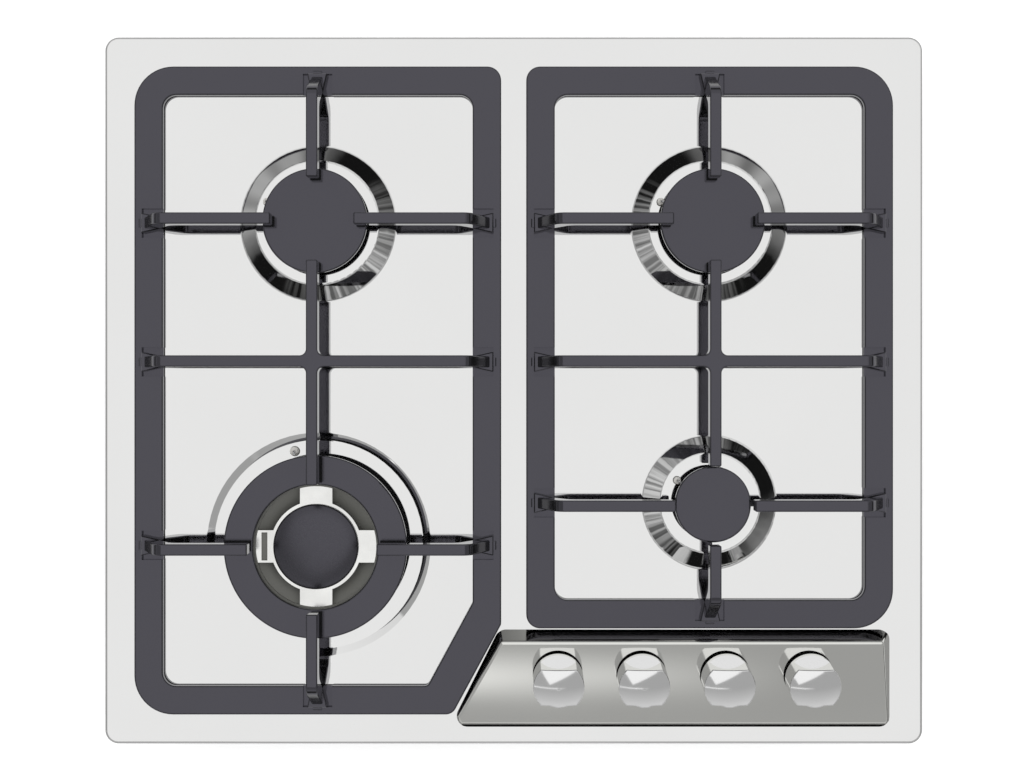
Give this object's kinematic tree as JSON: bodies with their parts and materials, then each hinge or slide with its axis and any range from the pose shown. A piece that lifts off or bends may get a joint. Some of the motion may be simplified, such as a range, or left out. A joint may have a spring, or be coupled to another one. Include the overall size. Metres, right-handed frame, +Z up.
{
  "type": "gas cooktop",
  "caption": "Built-in gas cooktop: polished steel plate, raised round burners, black pan supports with fingers, and chrome knobs on a sloped panel.",
  "frame": {"origin": "middle of the top plate, on the worktop's surface, which is the underside of the rim seal", "axes": "+X to the right, +Y to the back and +Z up, as seen by a person who stands at the knobs"},
  "size_m": [0.59, 0.51, 0.092],
  "materials": {
    "plate_steel": "polished stainless sheet",
    "panel_steel": "polished stainless sheet, slightly darker",
    "black_enamel": "glossy black enamel on steel",
    "crown_aluminium": "cast aluminium with an olive-grey coat",
    "cast_aluminium": "bare cast aluminium",
    "knob_chrome": "polished chrome",
    "box_steel": "galvanised steel sheet",
    "screw_steel": "plated steel",
    "brass": "machined brass",
    "pipe_aluminium": "drawn aluminium tube",
    "ceramic": "stands for glazed white ceramic",
    "foam": "closed-cell foam",
    "foot_rubber": "soft black rubber",
    "lead_rubber": "red-brown silicone lead",
    "dark_plastic": "black moulded plastic"
  },
  "bodies": {
    "cooktop": {"bottom_box": "box_steel", "box_nuts": "screw_steel", "box_screws": "screw_steel", "burner_cup_back_left": "cast_aluminium", "burner_cup_back_right": "cast_aluminium", "burner_cup_front_left": "cast_aluminium", "burner_cup_front_right": "cast_aluminium", "cup_screws": "screw_steel", "electrode_tips": "screw_steel", "gas_rail": "pipe_aluminium", "gas_tube_back_left": "pipe_aluminium", "gas_tube_back_right": "pipe_aluminium", "gas_tube_front_left": "pipe_aluminium", "gas_tube_front_right": "pipe_aluminium", "gas_valves": "brass", "ignition_generator": "dark_plastic", "ignition_leads": "lead_rubber", "ignition_switches": "dark_plastic", "injectors": "brass", "inlet_elbow": "brass", "knob_panel": "panel_steel", "knob_seals": "foot_rubber", "return_spring_1": "screw_steel", "return_spring_2": "screw_steel", "return_spring_3": "screw_steel", "return_spring_4": "screw_steel", "rim_seal": "foam", "spark_electrodes": "ceramic", "spring_clips": "box_steel", "strap_screws": "screw_steel", "supply_gland": "dark_plastic", "top_plate": "plate_steel", "valve_straps": "box_steel"},
    "left_support": {"left_support_frame": "black_enamel", "left_support_fingers": "black_enamel", "left_support_feet": "foot_rubber"},
    "right_support": {"right_support_frame": "black_enamel", "right_support_fingers": "black_enamel", "right_support_feet": "foot_rubber"},
    "crown_back_left": {"crown_back_left": "crown_aluminium"},
    "crown_back_right": {"crown_back_right": "crown_aluminium"},
    "crown_front_right": {"crown_front_right": "crown_aluminium"},
    "crown_front_left": {"crown_front_left": "crown_aluminium"},
    "cap_back_left": {"cap_back_left": "black_enamel"},
    "cap_back_right": {"cap_back_right": "black_enamel"},
    "cap_front_right": {"cap_front_right": "black_enamel"},
    "ring_cap": {"ring_cap_front_left": "black_enamel"},
    "dome_cap": {"dome_cap_front_left": "black_enamel"},
    "plunger_1": {"spring_washer_1": "screw_steel"},
    "knob_1": {"knob_1": "knob_chrome", "spindle_1": "screw_steel"},
    "plunger_2": {"spring_washer_2": "screw_steel"},
    "knob_2": {"knob_2": "knob_chrome", "spindle_2": "screw_steel"},
    "plunger_3": {"spring_washer_3": "screw_steel"},
    "knob_3": {"knob_3": "knob_chrome", "spindle_3": "screw_steel"},
    "plunger_4": {"spring_washer_4": "screw_steel"},
    "knob_4": {"knob_4": "knob_chrome", "spindle_4": "screw_steel"}
  },
  "joints": [
    {"name": "left_support_lift", "type": "slide", "parent": "cooktop", "child": "left_support", "axis": [0, 0, 1], "range_m": [0, 0.12]},
    {"name": "right_support_lift", "type": "slide", "parent": "cooktop", "child": "right_support", "axis": [0, 0, 1], "range_m": [0, 0.12]},
    {"name": "crown_back_left_lift", "type": "slide", "parent": "cooktop", "child": "crown_back_left", "axis": [0, 0, 1], "range_m": [0, 0.0022]},
    {"name": "cap_back_left_lift", "type": "slide", "parent": "crown_back_left", "child": "cap_back_left", "axis": [0, 0, 1], "range_m": [0, 0.0024]},
    {"name": "crown_back_right_lift", "type": "slide", "parent": "cooktop", "child": "crown_back_right", "axis": [0, 0, 1], "range_m": [0, 0.0022]},
    {"name": "cap_back_right_lift", "type": "slide", "parent": "crown_back_right", "child": "cap_back_right", "axis": [0, 0, 1], "range_m": [0, 0.0024]},
    {"name": "crown_front_right_lift", "type": "slide", "parent": "cooktop", "child": "crown_front_right", "axis": [0, 0, 1], "range_m": [0, 0.03]},
    {"name": "cap_front_right_lift", "type": "slide", "parent": "crown_front_right", "child": "cap_front_right", "axis": [0, 0, 1], "range_m": [0, 0.03]},
    {"name": "crown_front_left_lift", "type": "slide", "parent": "cooktop", "child": "crown_front_left", "axis": [0, 0, 1], "range_m": [0, 0.003]},
    {"name": "ring_cap_lift", "type": "slide", "parent": "crown_front_left", "child": "ring_cap", "axis": [0, 0, 1], "range_m": [0, 0.005]},
    {"name": "dome_cap_lift", "type": "slide", "parent": "crown_front_left", "child": "dome_cap", "axis": [0, 0, 1], "range_m": [0, 0.06]},
    {"name": "knob_1_push", "type": "slide", "parent": "cooktop", "child": "plunger_1", "axis": [0, 0.1564, -0.9877], "range_m": [0, 0.003], "stiffness_N_per_m": 1500, "springref_m": -0.002, "deforming": ["return_spring_1"]},
    {"name": "knob_1_turn", "type": "hinge", "parent": "plunger_1", "child": "knob_1", "pos_m": [0.03165, -0.2045, 0.01453], "axis": [0, -0.1564, 0.9877], "range_deg": [0, 210]},
    {"name": "knob_2_push", "type": "slide", "parent": "cooktop", "child": "plunger_2", "axis": [0, 0.1564, -0.9877], "range_m": [0, 0.003], "stiffness_N_per_m": 1500, "springref_m": -0.002, "deforming": ["return_spring_2"]},
    {"name": "knob_2_turn", "type": "hinge", "parent": "plunger_2", "child": "knob_2", "pos_m": [0.09165, -0.2045, 0.01453], "axis": [0, -0.1564, 0.9877], "range_deg": [0, 210]},
    {"name": "knob_3_push", "type": "slide", "parent": "cooktop", "child": "plunger_3", "axis": [0, 0.1564, -0.9877], "range_m": [0, 0.003], "stiffness_N_per_m": 1500, "springref_m": -0.002, "deforming": ["return_spring_3"]},
    {"name": "knob_3_turn", "type": "hinge", "parent": "plunger_3", "child": "knob_3", "pos_m": [0.15165, -0.2045, 0.01453], "axis": [0, -0.1564, 0.9877], "range_deg": [0, 210]},
    {"name": "knob_4_push", "type": "slide", "parent": "cooktop", "child": "plunger_4", "axis": [0, 0.1564, -0.9877], "range_m": [0, 0.003], "stiffness_N_per_m": 1500, "springref_m": -0.002, "deforming": ["return_spring_4"]},
    {"name": "knob_4_turn", "type": "hinge", "parent": "plunger_4", "child": "knob_4", "pos_m": [0.21165, -0.2045, 0.01453], "axis": [0, -0.1564, 0.9877], "range_deg": [0, 210]}
  ]
}
